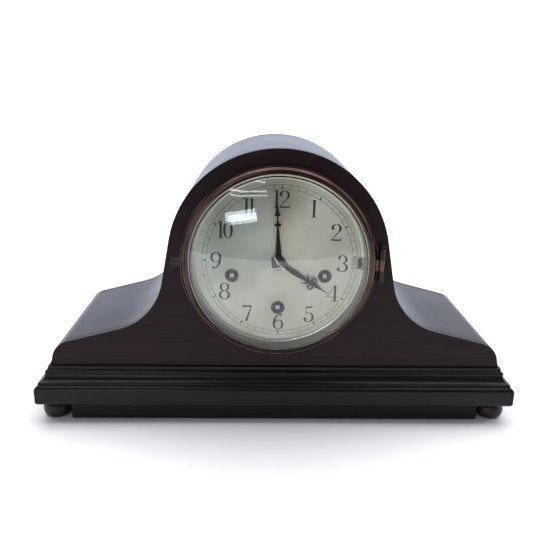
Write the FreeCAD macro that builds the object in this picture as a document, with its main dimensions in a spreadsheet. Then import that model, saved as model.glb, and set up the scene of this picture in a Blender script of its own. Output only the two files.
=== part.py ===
import FreeCAD, Part
import math
import os
import re

import Sketcher
from FreeCAD import Placement, Rotation, Vector

# A tambour ("Napoleon hat") mantel clock with a three-train chiming movement.
# Row frame, millimetres: +X to the clock's right, +Y to its back, +Z up.
# The origin is on the surface that the feet stand on, in the middle of the width and the depth.

doc = FreeCAD.newDocument("mantel_clock")
dims = doc.addObject("Spreadsheet::Sheet", "dims")

DRIVING = {
    # case
    "base_width": 420, "clock_depth": 167, "plinth_reach": 13, "knob_reach": 5,
    "case_width": 395, "seam_height": 50.5, "panel_thick": 9, "skin_thick": 4,
    "arch_radius": 93.3, "arch_height": 147, "cove_radius": 53, "cove_x": 150.9, "cove_height": 135.5,
    "round_radius": 18, "round_x": 178.1, "round_height": 55.1,
    "arch_lean": 10.5, "wing_slope": 14.5, "end_lean": 12,
    "plinth_thick": 20, "board_thick": 15.5,
    "foot_radius": 12.5, "foot_x": 196.5, "foot_front_y": -55.5, "foot_back_y": 55.5,
    # dial, bezel and hands
    "dial_height": 145, "dial_radius": 76, "dial_thick": 0.9, "dial_set_back": 3.7,
    "dial_opening": 76.8, "bezel_height": 9,
    "glass_thick": 1.8, "glass_rise": 12, "hinge_x": 86.2, "knuckle_radius": 2.6,
    "winding_hole": 5.2, "side_hole_x": 39.5, "side_hole_drop": 12, "low_hole_drop": 40.5,
    "minute_length": 64, "hour_length": 50,
    # back door
    "door_half_width": 62, "door_foot": 66, "door_spring": 150, "door_gap": 0.6,
    # movement
    "front_plate_y": -42, "back_plate_y": -2, "plate_thick": 2, "plate_half_width": 62,
    "plate_top": 52, "plate_bottom": 62, "arbor_radius": 1.2, "barrel_radius": 19.5,
    "pendulum_length": 112, "pendulum_y": 10, "bob_radius": 19, "pivot_rise": 46,
    "rod_height": 62, "rod_radius": 1.5, "first_rod_y": 20, "rod_pitch": 7,
}
for line, (alias, size) in enumerate(DRIVING.items(), start=1):
    dims.set(f"A{line}", alias)
    dims.set(f"B{line}", str(size))
    dims.setAlias(f"B{line}", alias)
doc.recompute()

ALIASES = re.compile(r"\b(" + "|".join(DRIVING) + r")\b")
NODES = []

# Places that several pieces share, as formulas over the sheet.
CASE_FRONT = "(bezel_height + glass_rise - clock_depth / 2)"
CASE_BACK = "(clock_depth / 2 - knob_reach)"
DIAL_FRONT = f"({CASE_FRONT} + dial_set_back)"
RIM_FRONT = f"({CASE_FRONT} - bezel_height)"
PLATE_GAP = "(back_plate_y - front_plate_y - plate_thick)"

ALONG_Y = Rotation(Vector(1, 0, 0), -90)
ALONG_X = Rotation(Vector(0, 1, 0), 90)


# ---------------------------------------------------------------- helpers

def value(formula):
    """What a formula over the sheet's aliases comes to."""
    return float(dims.evalExpression(str(formula)))


def bind(thing, prop, formula):
    """Tie a property of thing to a formula over the sheet's aliases."""
    thing.setExpression(prop, ALIASES.sub(r"dims.\1", str(formula)))


def place(thing, at, turn=None):
    """Bind where thing stands, and turn it if asked."""
    if turn is not None:
        thing.Placement = Placement(Vector(), turn)
    for axis, formula in zip("xyz", at):
        bind(thing, "Placement.Base." + axis, formula)
    return thing


def node(thing, label):
    """Register thing as one sub-part: its label names its file."""
    thing.Label = label
    NODES.append(thing)
    return thing


def primitive(kind, name, sizes, at, turn=None):
    """A Part primitive with each size and its place bound to the sheet."""
    thing = doc.addObject("Part::" + kind, name)
    for prop, formula in sizes.items():
        bind(thing, prop, formula)
    return place(thing, at, turn or Rotation())


def box(name, size, at):
    """A box from its lowest corner."""
    return primitive("Box", name, dict(zip(("Length", "Width", "Height"), size)), at)


def rod(name, radius, length, at, turn=ALONG_Y):
    """A cylinder from the middle of its first end; it runs to the back unless turned."""
    return primitive("Cylinder", name, {"Radius": radius, "Height": length}, at, turn)


def join(name, *pieces):
    """Several solids fused into one."""
    thing = doc.addObject("Part::MultiFuse", name)
    thing.Shapes = list(pieces)
    thing.Refine = True
    return thing


def cut(name, base, *tools):
    """Base with every tool taken out of it."""
    thing = doc.addObject("Part::Cut", name)
    thing.Base = base
    thing.Tool = tools[0] if len(tools) == 1 else join(name + "_tools", *tools)
    return thing


def group(name, *pieces):
    """Separate solids kept side by side as one sub-part."""
    thing = doc.addObject("Part::Compound", name)
    thing.Links = list(pieces)
    return thing


def body(name, at=(0, 0, 0)):
    """An empty PartDesign body whose place is bound to the sheet."""
    return place(doc.addObject("PartDesign::Body", name), at)


def sketch(owner, name, plane):
    """A sketch on one of its own body's origin planes, such as XZ_Plane."""
    made = owner.newObject("Sketcher::SketchObject", name)
    wanted = next(f for f in owner.Origin.OriginFeatures if f.Role == plane)
    made.AttachmentSupport = [(wanted, "")]
    made.MapMode = "FlatFace"
    return made


def measure(drawn, kind, where, formula):
    """Add a dimension to a sketch and bind it to a formula."""
    index = drawn.addConstraint(Sketcher.Constraint(kind, *where, value(formula)))
    bind(drawn, f"Constraints[{index}]", formula)


def loop(drawn, points):
    """A closed outline through points, each (x, y) or (x, y, radius) in formulas.

    A radius makes the stretch to the next point an arc, and it is positive where
    the arc turns to the left on the way there.
    """
    known = [[value(item) for item in point] for point in points]
    ends = []
    for here, there in zip(known, known[1:] + known[:1]):
        start, end = Vector(*here[:2], 0), Vector(*there[:2], 0)
        if len(here) == 2:
            ends.append((drawn.addGeometry(Part.LineSegment(start, end)), 1, 2))
            continue
        chord, side = end - start, math.copysign(1, here[2])
        reach = math.sqrt(max(here[2] ** 2 - chord.Length ** 2 / 4, 0))
        left = Vector(-chord.y, chord.x, 0).normalize()
        centre = (start + end) / 2 + left * reach * side
        first, last = (start, end) if side > 0 else (end, start)
        angle = [math.atan2(p.y - centre.y, p.x - centre.x) for p in (first, last)]
        circle = Part.Circle(centre, Vector(0, 0, 1), abs(here[2]))
        arc = drawn.addGeometry(Part.ArcOfCircle(circle, *angle))
        ends.append((arc, 1, 2) if side > 0 else (arc, 2, 1))
    for (one, _, last), (two, first, _) in zip(ends, ends[1:] + ends[:1]):
        drawn.addConstraint(Sketcher.Constraint("Coincident", one, last, two, first))
    for (line, first, _), point in zip(ends, points):
        measure(drawn, "DistanceX", (-1, 1, line, first), point[0])
        measure(drawn, "DistanceY", (-1, 1, line, first), point[1])
        if len(point) == 3:
            measure(drawn, "Radius", (line,), f"abs({point[2]})")


def circle(drawn, radius, x="0", y="0"):
    """A full circle with its radius and centre bound."""
    made = drawn.addGeometry(Part.Circle(Vector(value(x), value(y), 0), Vector(0, 0, 1), value(radius)))
    measure(drawn, "DistanceX", (-1, 1, made, 3), x)
    measure(drawn, "DistanceY", (-1, 1, made, 3), y)
    measure(drawn, "Radius", (made,), radius)


def pad(owner, name, drawn, length, middle=False, back=True):
    """Pad a sketch by a bound length: about its plane, or to the back of it."""
    made = owner.newObject("PartDesign::Pad", name)
    made.Profile = drawn
    bind(made, "Length", length)
    made.SideType = "Symmetric" if middle else "One side"
    made.Reversed = back and not middle
    return made


def pocket(owner, name, drawn):
    """Cut a sketch right through its body, both ways."""
    doc.recompute()
    before = owner.Shape.Volume
    made = owner.newObject("PartDesign::Pocket", name)
    made.Profile = drawn
    made.Type = "ThroughAll"
    made.SideType = "Symmetric"
    doc.recompute()
    if not owner.Shape.Volume < before - 0.01:
        raise RuntimeError(f"{owner.Name}: {name} took nothing away")
    return made


def turned(name, plane, points, at):
    """A body of revolution about its sketch's vertical axis."""
    owner = body(name, at)
    drawn = sketch(owner, name + "_profile", plane)
    loop(drawn, points)
    made = owner.newObject("PartDesign::Revolution", name + "_turn")
    made.Profile = drawn
    made.ReferenceAxis = (drawn, ["V_Axis"])
    made.Angle = 360
    return owner


def backwards(points):
    """The same open outline walked the other way, its arcs turning the other way."""
    ends = [point[:2] for point in points[::-1]]
    bends = [point[2:] for point in points[::-1][1:]] + [()]
    return [end + tuple(f"-({bend})" for bend in bent) for end, bent in zip(ends, bends)]


# ---------------------------------------------------------------- the case

def hat(inset):
    """The hat's outline from its right foot over the top to its left foot, drawn in by an inset.

    Each wing is straight between the round at its end and the cove, and the cove runs
    straight up into the arch, so every arc meets its neighbours without a corner.
    """
    shoulder = f"(round_radius - {inset})"
    cove = f"(cove_radius + {inset})"
    arch = f"(arch_radius - {inset})"
    corners = [
        (f"case_width / 2 - {inset}", "seam_height"),
        (f"round_x + {shoulder} * cos(end_lean)", f"round_height + {shoulder} * sin(end_lean)"),
        (f"round_x + {shoulder} * sin(wing_slope)", f"round_height + {shoulder} * cos(wing_slope)"),
        (f"cove_x - {cove} * sin(wing_slope)", f"cove_height - {cove} * cos(wing_slope)"),
        (f"cove_x - {cove} * cos(arch_lean)", f"cove_height - {cove} * sin(arch_lean)"),
        (f"{arch} * cos(arch_lean)", f"arch_height + {arch} * sin(arch_lean)"),
    ]
    mirrored = [(f"-({x})", z) for x, z in corners[::-1]]
    outline = corners + [("0", f"arch_height + {arch}")] + mirrored
    bends = {1: shoulder, 3: "-" + cove, 5: arch, 6: arch, 8: "-" + cove, 10: shoulder}
    return [point + ((bends[i],) if i in bends else ()) for i, point in enumerate(outline)]


def front_panel():
    owner = body("front_panel", ("0", CASE_FRONT, "0"))
    drawn = sketch(owner, "front_panel_outline", "XZ_Plane")
    loop(drawn, hat("0"))
    circle(drawn, "dial_opening + 1.4", "0", "dial_height")
    pad(owner, "front_panel_board", drawn, "panel_thick")
    return node(owner, "front_panel")


def doorway(gap):
    """The arched outline of the back opening, drawn in by a gap."""
    side = f"(door_half_width - {gap})"
    return [
        (f"-{side}", f"door_foot + {gap}"),
        (side, f"door_foot + {gap}"),
        (side, "door_spring", side),
        ("0", f"door_spring + {side}", side),
        (f"-{side}", "door_spring"),
    ]


def back_panel():
    owner = body("back_panel", ("0", f"{CASE_BACK} - panel_thick", "0"))
    drawn = sketch(owner, "back_panel_outline", "XZ_Plane")
    loop(drawn, hat("0"))
    loop(drawn, doorway("0"))
    pad(owner, "back_panel_board", drawn, "panel_thick")
    return node(owner, "back_panel")


def hat_top():
    owner = body("hat_top", ("0", f"{CASE_FRONT} + panel_thick", "0"))
    drawn = sketch(owner, "hat_top_outline", "XZ_Plane")
    loop(drawn, hat("0") + backwards(hat("skin_thick")))
    pad(owner, "hat_top_skin", drawn, f"{CASE_BACK} - {CASE_FRONT} - 2 * panel_thick")
    return node(owner, "hat_top")


def moulding_profile():
    """Section of the plinth: how far out of the panel's face, and how high."""
    return [
        ("14", "17"),
        ("-(plinth_reach - 3.8)", "17", "-4.2"),
        ("-plinth_reach", "21"),
        ("-plinth_reach", "32", "-4"),
        ("-(plinth_reach - 3)", "35.2"),
        ("-(plinth_reach - 3.4)", "35.2"),
        ("-(plinth_reach - 3.4)", "36", "-1.1"),
        ("-(plinth_reach - 4.2)", "38"),
        ("-(plinth_reach - 4.8)", "38.2", "8"),
        ("-4.2", "43.8"),
        ("-4.2", "44.8", "-1.4"),
        ("-3.6", "47.2"),
        ("-2.4", "47.6"),
        ("-2.4", "seam_height"),
        ("14", "seam_height"),
    ]


def front_moulding():
    owner = body("front_moulding", ("0", CASE_FRONT, "0"))
    drawn = sketch(owner, "front_moulding_section", "YZ_Plane")
    loop(drawn, moulding_profile())
    pad(owner, "front_moulding_length", drawn, "base_width", middle=True)
    mitre = sketch(owner, "front_moulding_mitres", "XY_Plane")
    for side in ("", "-"):
        loop(mitre, [
            (f"{side}(base_width / 2 + 1)", "-plinth_reach - 1"),
            (f"{side}(base_width / 2 + 1)", "15"),
            (f"{side}(base_width / 2 - plinth_reach - 15)", "15"),
        ])
    pocket(owner, "front_moulding_mitre_cuts", mitre)
    return node(owner, "front_moulding")


def end_moulding(label, side):
    """One end of the plinth, mitred to the front and square at the back."""
    owner = body(label, (f"{side}case_width / 2 - {side}0.5", CASE_FRONT, "0"))
    drawn = sketch(owner, label + "_section", "XZ_Plane")
    turn = "-" if side == "+" else ""
    flat = [(turn + "(" + point[0] + ")",) + point[1:2] for point in moulding_profile()]
    bends = [point[2:] for point in moulding_profile()]
    if side == "+":
        bends = [tuple(f"-({bend})" for bend in bent) for bent in bends]
    loop(drawn, [end + bent for end, bent in zip(flat, bends)])
    run = pad(owner, label + "_length", drawn, f"{CASE_BACK} - {CASE_FRONT}")
    run.SideType = "Two sides"
    bind(run, "Length2", "plinth_reach")
    mitre = sketch(owner, label + "_mitre", "XY_Plane")
    out = side.replace("+", "")
    loop(mitre, [
        (f"{out}(plinth_reach + 1)", "-(plinth_reach + 1)"),
        (f"{out}(-15)", "-(plinth_reach + 1)"),
        (f"{out}(-15)", "15"),
    ])
    pocket(owner, label + "_mitre_cut", mitre)
    return node(owner, label)


def base_board():
    inside = "(case_width / 2 - 15)"
    floor = box("case_floor", (f"2 * {inside}", f"{CASE_BACK} - {CASE_FRONT} - 15", "plinth_thick"),
                (f"-{inside}", f"{CASE_FRONT} + 14.5", "17"))
    board = box("bottom_board",
                ("2 * (foot_x - foot_radius - 3)", f"{CASE_BACK} - {CASE_FRONT} - 9", "board_thick"),
                ("-(foot_x - foot_radius - 3)", f"{CASE_FRONT} - 5", "17 - board_thick"))
    return node(join("base_board", floor, board), "base_board")


def feet():
    """Four turned bun feet, one under each corner."""
    buns = [turned(f"foot_{line}", "XZ_Plane", [
        ("0", "0"),
        ("foot_radius - 4", "0"),
        ("foot_radius - 2.2", "1", "9"),
        ("foot_radius - 0.8", "11", "4"),
        ("foot_radius - 3.4", "13.6"),
        ("foot_radius - 3.4", "17"),
        ("0", "17"),
    ], (x, y, "0")) for line, (x, y) in enumerate((
        ("-foot_x", "foot_front_y"), ("foot_x", "foot_front_y"),
        ("-foot_x", "foot_back_y"), ("foot_x", "foot_back_y")))]
    return node(group("feet", *buns), "feet")


def glue_blocks():
    """Eight blocks that hold the two panels to the floor."""
    blocks = []
    for line, x in enumerate(("-150", "-60", "45", "135")):
        blocks.append(box(f"front_block_{line}", ("15", "12", "14"),
                          (x, f"{CASE_FRONT} + panel_thick", "seam_height")))
        blocks.append(box(f"back_block_{line}", ("15", "12", "14"),
                          (x, f"{CASE_BACK} - panel_thick - 12", "seam_height")))
    rails = [
        box("front_rail", ("2 * (case_width / 2 - 15)", "12", "seam_height - 17 - plinth_thick"),
            ("-(case_width / 2 - 15)", f"{CASE_FRONT} + 14.5", "17 + plinth_thick")),
        box("back_rail", ("2 * (case_width / 2 - 15)", "14", "seam_height - 17 - plinth_thick"),
            ("-(case_width / 2 - 15)", f"{CASE_BACK} - 14.5", "17 + plinth_thick")),
    ]
    return node(join("glue_blocks", *blocks, *rails), "glue_blocks")


# ---------------------------------------------------------------- bezel, dial and hands

def dial_ring(label, points):
    """A turned ring about the dial's axis; depth is counted back from the bezel's front rim."""
    return node(turned(label, "XY_Plane", points, ("0", RIM_FRONT, "dial_height")), label)


def knuckles(name, leaf, spans):
    """Hinge knuckles at the bezel's right side: each span is (from, to) about the dial's height."""
    pieces = []
    for line, (low, high) in enumerate(spans):
        at = ("hinge_x", f"{RIM_FRONT} + bezel_height - 2.8", f"dial_height + {low}")
        pieces.append(rod(f"{name}_{line}", "knuckle_radius", f"{high} - {low}", at, Rotation()))
    pin = rod(name + "_pin_way", "1.25", "40", ("hinge_x", f"{RIM_FRONT} + bezel_height - 2.8",
                                               "dial_height - 20"), Rotation())
    return cut(name + "_barrel", join(name + "_solid", leaf, *pieces), pin)


def bezel_seat():
    ring = turned("seat_ring", "XY_Plane", [
        ("76.3", "bezel_height - 0.5"),
        ("80", "bezel_height - 0.5"),
        ("80", "bezel_height"),
        ("77.5", "bezel_height"),
        ("77.5", "bezel_height + dial_set_back + dial_thick + 1"),
        ("76.3", "bezel_height + dial_set_back + dial_thick + 1"),
    ], ("0", RIM_FRONT, "dial_height"))
    leaves = [box(f"seat_leaf_{line}", ("hinge_x - 79.4", "0.5", "9"),
                  ("79.4", f"{RIM_FRONT} + bezel_height - 0.5", f"dial_height + {low}"))
              for line, low in enumerate(("5.2", "-14.2"))]
    leaf = join("seat_leaves", ring, *leaves)
    return node(knuckles("seat_knuckle", leaf, [("5.2", "14.2"), ("-14.2", "-5.2")]), "bezel_seat")


def bezel():
    ring = turned("bezel_ring", "XY_Plane", [
        ("76", "2"),
        ("76", "0.6"),
        ("76.8", "0"),
        ("77.8", "0.5"),
        ("78.2", "0.1", "2.4"),
        ("80.4", "2.2", "6"),
        ("81.8", "6.2"),
        ("82.5", "6.6"),
        ("82.5", "bezel_height - 0.7"),
        ("80.6", "bezel_height - 0.7"),
        ("80.6", "5.2"),
        ("76.8", "5.2"),
        ("76.8", "4.2"),
        ("79.3", "4.2"),
        ("79.3", "2"),
    ], ("0", RIM_FRONT, "dial_height"))
    leaf = box("bezel_leaf", ("hinge_x - 81", "1.4", "9.6"),
               ("81", f"{RIM_FRONT} + bezel_height - 3.5", "dial_height - 4.8"))
    return node(knuckles("bezel_knuckle", join("bezel_and_leaf", ring, leaf), [("-4.8", "4.8")]), "bezel")


def hinge_pin():
    shank = rod("hinge_pin_shank", "1.2", "30.4",
                ("hinge_x", f"{RIM_FRONT} + bezel_height - 2.8", "dial_height - 15.2"), Rotation())
    ball = primitive("Sphere", "hinge_pin_ball", {"Radius": "1.6"},
                     ("hinge_x", f"{RIM_FRONT} + bezel_height - 2.8", "dial_height + 16.2"))
    return node(join("hinge_pin", shank, ball), "bezel_hinge_pin")


def glass():
    """A shallow dome with a flat rim that lies behind the bezel's lip."""
    return dial_ring("glass", [
        ("79", "2.1"),
        ("79", "2.1 + glass_thick"),
        ("74", "2.1 + glass_thick"),
        ("73.2", "0.1 + glass_thick", "-((73.2^2 + (glass_rise + 0.1)^2) / (2 * (glass_rise + 0.1)))"),
        ("0", "-glass_rise + glass_thick"),
        ("0", "-glass_rise", "(75^2 + glass_rise^2) / (2 * glass_rise)"),
        ("75", "0"),
        ("75.4", "2.1"),
    ])


def dial():
    plate = body("dial_sheet", ("0", DIAL_FRONT, "dial_height"))
    drawn = sketch(plate, "dial_outline", "XZ_Plane")
    circle(drawn, "dial_radius")
    circle(drawn, "3.4")
    circle(drawn, "winding_hole", "-side_hole_x", "-side_hole_drop")
    circle(drawn, "winding_hole", "side_hole_x", "-side_hole_drop")
    circle(drawn, "winding_hole", "0", "-low_hole_drop")
    loop(drawn, [("67", "-5.4"), ("70.2", "-5.4"), ("70.2", "5.4"), ("67", "5.4")])
    pad(plate, "dial_metal", drawn, "dial_thick")
    feet = [rod(f"dial_foot_{line}", "1.6", f"front_plate_y - {DIAL_FRONT} - dial_thick",
                (x, f"{DIAL_FRONT} + dial_thick", f"dial_height + {z}"))
            for line, (x, z) in enumerate((("41", "41"), ("-41", "41"), ("41", "-41"), ("-41", "-41")))]
    return node(join("dial", plate, *feet), "dial_plate")


def dial_trim():
    rim = turned("rim_ring", "XY_Plane", [("70.4", "-0.2", "3"), ("72", "-0.8"), ("75.6", "-0.8"),
                                          ("75.6", "0"), ("70.4", "0")],
                 ("0", DIAL_FRONT, "dial_height"))
    notch = box("rim_notch", ("20", "4", "11.6"), ("60", f"{DIAL_FRONT} - 2", "dial_height - 5.8"))
    node(cut("rim", rim, notch), "dial_rim")
    plate = box("silent_sheet", ("14", "0.5", "11"), ("61.6", f"{DIAL_FRONT} - 0.5", "dial_height - 5.5"))
    way = box("silent_way", ("3.2", "3", "9.4"), ("67", f"{DIAL_FRONT} - 2", "dial_height - 4.7"))
    node(cut("silent_label", plate, way), "silent_plate")
    shaft = rod("silent_shaft", "1.1", "9", ("68.6", f"{DIAL_FRONT} - 3", "dial_height"))
    knob = rod("silent_knob", "1.9", "1.8", ("68.6", f"{DIAL_FRONT} - 3.4", "dial_height"))
    tail = box("silent_tail", ("8.2", "1", "5"), ("63", f"{DIAL_FRONT} + 5", "dial_height - 2.5"))
    return node(join("silent", shaft, knob, tail), "silent_lever")


def flat_hand(name, outline, angle, front, thick, hub, bore, extras=()):
    """A sheet hand: half widths along its length, mirrored, turned clockwise by an angle."""
    right = [Vector(w, 0, r) for r, w in outline]
    left = [Vector(-w, 0, r) for r, w in outline[::-1] if w > 0]
    face = Part.Face(Part.makePolygon(right + left + [right[0]]))
    blade = face.extrude(Vector(0, thick, 0))
    ring = Part.makeCylinder(hub, thick, Vector(), Vector(0, 1, 0))
    blade = blade.fuse([ring, *extras]).removeSplitter()
    blade = blade.cut(Part.makeCylinder(bore, 9, Vector(0, -4, 0), Vector(0, 1, 0)))
    made = doc.addObject("Part::Feature", name)
    made.Shape = blade
    return place(made, ("0", front, "dial_height"), Rotation(Vector(0, 1, 0), angle))


def minute_hand():
    length = value("minute_length")
    outline = [(0, 2.4), (8, 2.4), (12, 2.2), (0.5 * length, 0.7), (0.505 * length, 2.7),
               (0.535 * length, 2.7), (0.54 * length, 0.6), (0.63 * length, 0.6), (0.64 * length, 2.5),
               (0.68 * length, 1.5), (0.76 * length, 0.7), (length, 0.12)]
    made = flat_hand("minute_blade", outline, -2.5, f"{DIAL_FRONT} - 5.2", 0.6, 5, 2.0)
    return node(made, "minute_hand")


def curl(side, thick):
    """One of the two round hooks beside the hour hand's blade, as a bent strip."""
    turns = [math.radians(-120 + 22 * step) for step in range(15)]
    outer = [Vector(side * (3.2 + 2.6 * math.cos(turn)), 0, 34 + 2.8 * math.sin(turn)) for turn in turns]
    inner = [Vector(side * (3.2 + 1.4 * math.cos(turn)), 0, 34 + 1.6 * math.sin(turn)) for turn in turns]
    return Part.Face(Part.makePolygon(outer + inner[::-1] + [outer[0]])).extrude(Vector(0, thick, 0))


def whisker(side, thick):
    """One of the two thin barbs that point back beside the hour hand's shaft."""
    points = [(0, 31.5), (0, 29), (side * 2.6, 27.6), (side * 5, 24.4), (side * 3.4, 28.6)]
    corners = [Vector(x, 0, z) for x, z in points]
    return Part.Face(Part.makePolygon(corners + [corners[0]])).extrude(Vector(0, thick, 0))


def hour_hand():
    length = value("hour_length")
    outline = [(0, 2.2), (9, 2), (10.5, 1.2), (12, 2), (0.42 * length, 1.8), (0.5 * length, 1),
               (0.6 * length, 0.9), (0.66 * length, 1.9), (0.74 * length, 1.7), (0.86 * length, 0.5),
               (length, 0.15)]
    extras = [maker(side, 0.6) for maker in (curl, whisker) for side in (-1, 1)]
    made = flat_hand("hour_blade", outline, 122, f"{DIAL_FRONT} - 3.2", 0.6, 5.6, 3.1, extras)
    return node(made, "hour_hand")


def hand_fixings():
    dome = turned("collet_dome", "XY_Plane", [("1.3", "0"), ("6.2", "0"), ("6.2", "-0.7", "-7"),
                                              ("3", "-2.6"), ("1.3", "-2.6")],
                  ("0", f"{DIAL_FRONT} - 5.2", "dial_height"))
    node(dome, "hand_collet")
    lean = Rotation(Vector(0, 1, 0), 149)
    pin = primitive("Cone", "taper_pin", {"Radius1": "0.7", "Radius2": "0.4", "Height": "15"},
                    ("-7.5 * sin(149)", f"{DIAL_FRONT} - 8.6", "dial_height - 7.5 * cos(149)"), lean)
    return node(pin, "hand_pin")


# ---------------------------------------------------------------- the movement

# Where the arbors stand, from the dial's centre: across, up.
SPOTS = {
    "centre": (0, 0),
    "time": (0, -value("low_hole_drop")),
    "strike": (-value("side_hole_x"), -value("side_hole_drop")),
    "chime": (value("side_hole_x"), -value("side_hole_drop")),
    "between": (11.43, -16.17),
    "third": (-13, 14.007),
    "escape": (0, 23.62),
    "anchor": (0, value("pivot_rise")),
    "motion": (0, 12),
    "strike_second": (-44, 14.5),
    "strike_fly": (-36, 29.5),
    "chime_second": (44, 14.5),
    "chime_fly": (36, 29.5),
    "drum": (51.5, -36.05),
    "hammers": (36, -57),
}


def spot(name, y):
    """The place of an arbor, starting at depth y."""
    x, z = SPOTS[name]
    return (str(x), y, f"dial_height + {z}")


def bearing(start, end):
    """Angle of the line from one arbor to another, seen from the front."""
    (x0, z0), (x1, z1) = SPOTS[start], SPOTS[end]
    return math.atan2(z1 - z0, x1 - x0)


def meshed(driver, driven, teeth, leaves, phase=0.0):
    """Tooth phase that lets a wheel at driven mesh with the one at driver."""
    line = bearing(driver, driven)
    past = (line - phase) % (2 * math.pi / teeth)
    return line + math.pi + past * teeth / leaves + math.pi / leaves


def toothed(name, at, teeth, module, y, thick, phase=0.0, leaves=False, bore=0.0):
    """A toothed wheel or a leaved pinion with straight flanks, its front face at depth y."""
    radius, pitch = module * teeth / 2, math.pi / teeth
    if leaves:
        steps = ((-1.15, -0.36), (0, -0.36), (0.35, -0.24), (0.35, 0.24), (0, 0.36), (-1.15, 0.36))
    else:
        steps = ((-1, -0.5), (0, -0.4), (0.7, -0.2), (0.7, 0.2), (0, 0.4), (-1, 0.5))
    corners = []
    for tooth in range(teeth):
        for rise, width in steps:
            angle = phase + pitch * (2 * tooth + width)
            reach = radius + rise * module
            corners.append(Vector(reach * math.cos(angle), 0, reach * math.sin(angle)))
    face = Part.Face(Part.makePolygon(corners + [corners[0]]))
    shape = face.extrude(Vector(0, thick, 0))
    if bore:
        shape = shape.cut(Part.makeCylinder(bore, thick, Vector(), Vector(0, 1, 0)))
    made = doc.addObject("Part::Feature", name)
    made.Shape = shape
    return place(made, spot(at, y))


def plate(label, y, holes, big_holes):
    owner = body(label, ("0", y, "dial_height"))
    drawn = sketch(owner, label + "_outline", "XZ_Plane")
    loop(drawn, [
        ("-plate_half_width", "-plate_bottom + 8"),
        ("-plate_half_width + 8", "-plate_bottom"),
        ("plate_half_width - 8", "-plate_bottom"),
        ("plate_half_width", "-plate_bottom + 8"),
        ("plate_half_width", "plate_top - 8"),
        ("plate_half_width - 8", "plate_top"),
        ("-plate_half_width + 8", "plate_top"),
        ("-plate_half_width", "plate_top - 8"),
    ])
    for names, radius in ((holes, "arbor_radius + 0.07"), (big_holes, "2.67")):
        for name in names:
            x, z = SPOTS[name]
            circle(drawn, radius, str(x), str(z))
    pad(owner, label + "_metal", drawn, "plate_thick")
    return node(owner, label)


def plates():
    common = ["between", "third", "escape", "anchor", "strike_second", "strike_fly", "chime_second",
              "chime_fly"]
    wound = ["time", "strike", "chime"]
    plate("front_plate", "front_plate_y", ["centre", "drum", *common], wound)
    plate("back_plate", "back_plate_y", ["centre", *common], ["drum", *wound])


def plate_corners():
    return [(f"{side}(plate_half_width - 8)", height) for side in ("", "-")
            for height in ("dial_height + plate_top - 7", "dial_height - plate_bottom + 7")]


def pillars():
    posts = [rod(f"pillar_{line}", "3.2", PLATE_GAP, (x, "front_plate_y + plate_thick", z))
             for line, (x, z) in enumerate(plate_corners())]
    heads = []
    for line, (x, z) in enumerate(plate_corners()):
        heads.append(rod(f"front_nut_{line}", "3.4", "1.8", (x, "front_plate_y - 1.8", z)))
        heads.append(rod(f"back_nut_{line}", "3.4", "1.8", (x, "back_plate_y + plate_thick", z)))
    return node(group("pillars", *posts, *heads), "plate_pillars")


def brackets():
    """Four cranked straps that hang the movement on the back of the front panel."""
    arms = []
    for line, (side, height) in enumerate((("", "36"), ("-", "36"), ("", "-44"), ("-", "-44"))):
        x = f"({side}72)"
        gap = f"front_plate_y - {CASE_FRONT} - panel_thick"
        post = rod(f"bracket_post_{line}", "4.5", gap + " - 2",
                   (x, f"{CASE_FRONT} + panel_thick", f"dial_height + {height}"))
        low = "56" if not side else "-76.5"
        strap = box(f"bracket_strap_{line}", ("20.5", "2", "9"),
                    (low, "front_plate_y - 2", f"dial_height + {height} - 4.5"))
        arms.append(join(f"bracket_{line}", post, strap))
    return node(group("brackets", *arms), "movement_brackets")


def barrel(name, phase):
    """A going barrel: drum, great wheel at its back end and a bore for its arbor."""
    drum = rod(name + "_cup", "barrel_radius", "20", spot(name, "-34"))
    wheel = toothed(name + "_great", name, 72, 0.64, "-14", 2, phase)
    bore = rod(name + "_bore", "2.67", "30", spot(name, "-38"))
    return node(cut(name + "_barrel", join(name + "_solid", drum, wheel), bore), name + "_barrel")


def winding_arbor(name):
    """The arbor a key turns: a square end in the dial's hole, a ratchet wheel, a long shank."""
    shank = rod(name + "_shank", "2.6", "42.5", spot(name, "-42.5"))
    neck = rod(name + "_neck", "2.6", "4.5", spot(name, "-47"))
    square = box(name + "_square", ("3.4", f"-46.2 - ({DIAL_FRONT} + 0.4)", "3.4"),
                 (f"{SPOTS[name][0]} - 1.7", f"{DIAL_FRONT} + 0.4", f"dial_height + {SPOTS[name][1]} - 1.7"))
    ratchet = ratchet_wheel(name + "_ratchet", name)
    return node(join(name + "_winder", shank, neck, square, ratchet), name + "_winding_arbor")


def ratchet_wheel(name, at):
    corners = []
    for tooth in range(16):
        start = 2 * math.pi * tooth / 16
        for radius, angle in ((7.4, start), (6.2, start + 0.06)):
            corners.append(Vector(radius * math.cos(angle), 0, radius * math.sin(angle)))
    made = doc.addObject("Part::Feature", name)
    made.Shape = Part.Face(Part.makePolygon(corners + [corners[0]])).extrude(Vector(0, 1.6, 0))
    return place(made, spot(at, "front_plate_y - 2.2"))


def click(name):
    """The pawl beside a ratchet wheel, on its own stud in the front plate."""
    x, z = SPOTS[name]
    low = f"dial_height + {z} - 6"
    hub = rod(name + "_click_hub", "2.4", "1.6", (str(x + 11), "front_plate_y - 2.2", low))
    arm = box(name + "_click_arm", ("2.2", "1.6", "7"), (str(x + 7.75), "front_plate_y - 2.2", low))
    stud = rod(name + "_click_stud", "1.4", "2.9", (str(x + 11), "front_plate_y - 2.9", low))
    return join(name + "_click", hub, arm, stud)


def plate_studs():
    """The three clicks and the stud that the minute wheel turns on, all set in the front plate."""
    stud = rod("minute_stud", "arbor_radius", "8.4", spot("motion", "front_plate_y - 8.4"))
    wound = [click(name) for name in ("time", "strike", "chime")]
    return node(group("studs", stud, *wound), "plate_studs")


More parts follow.
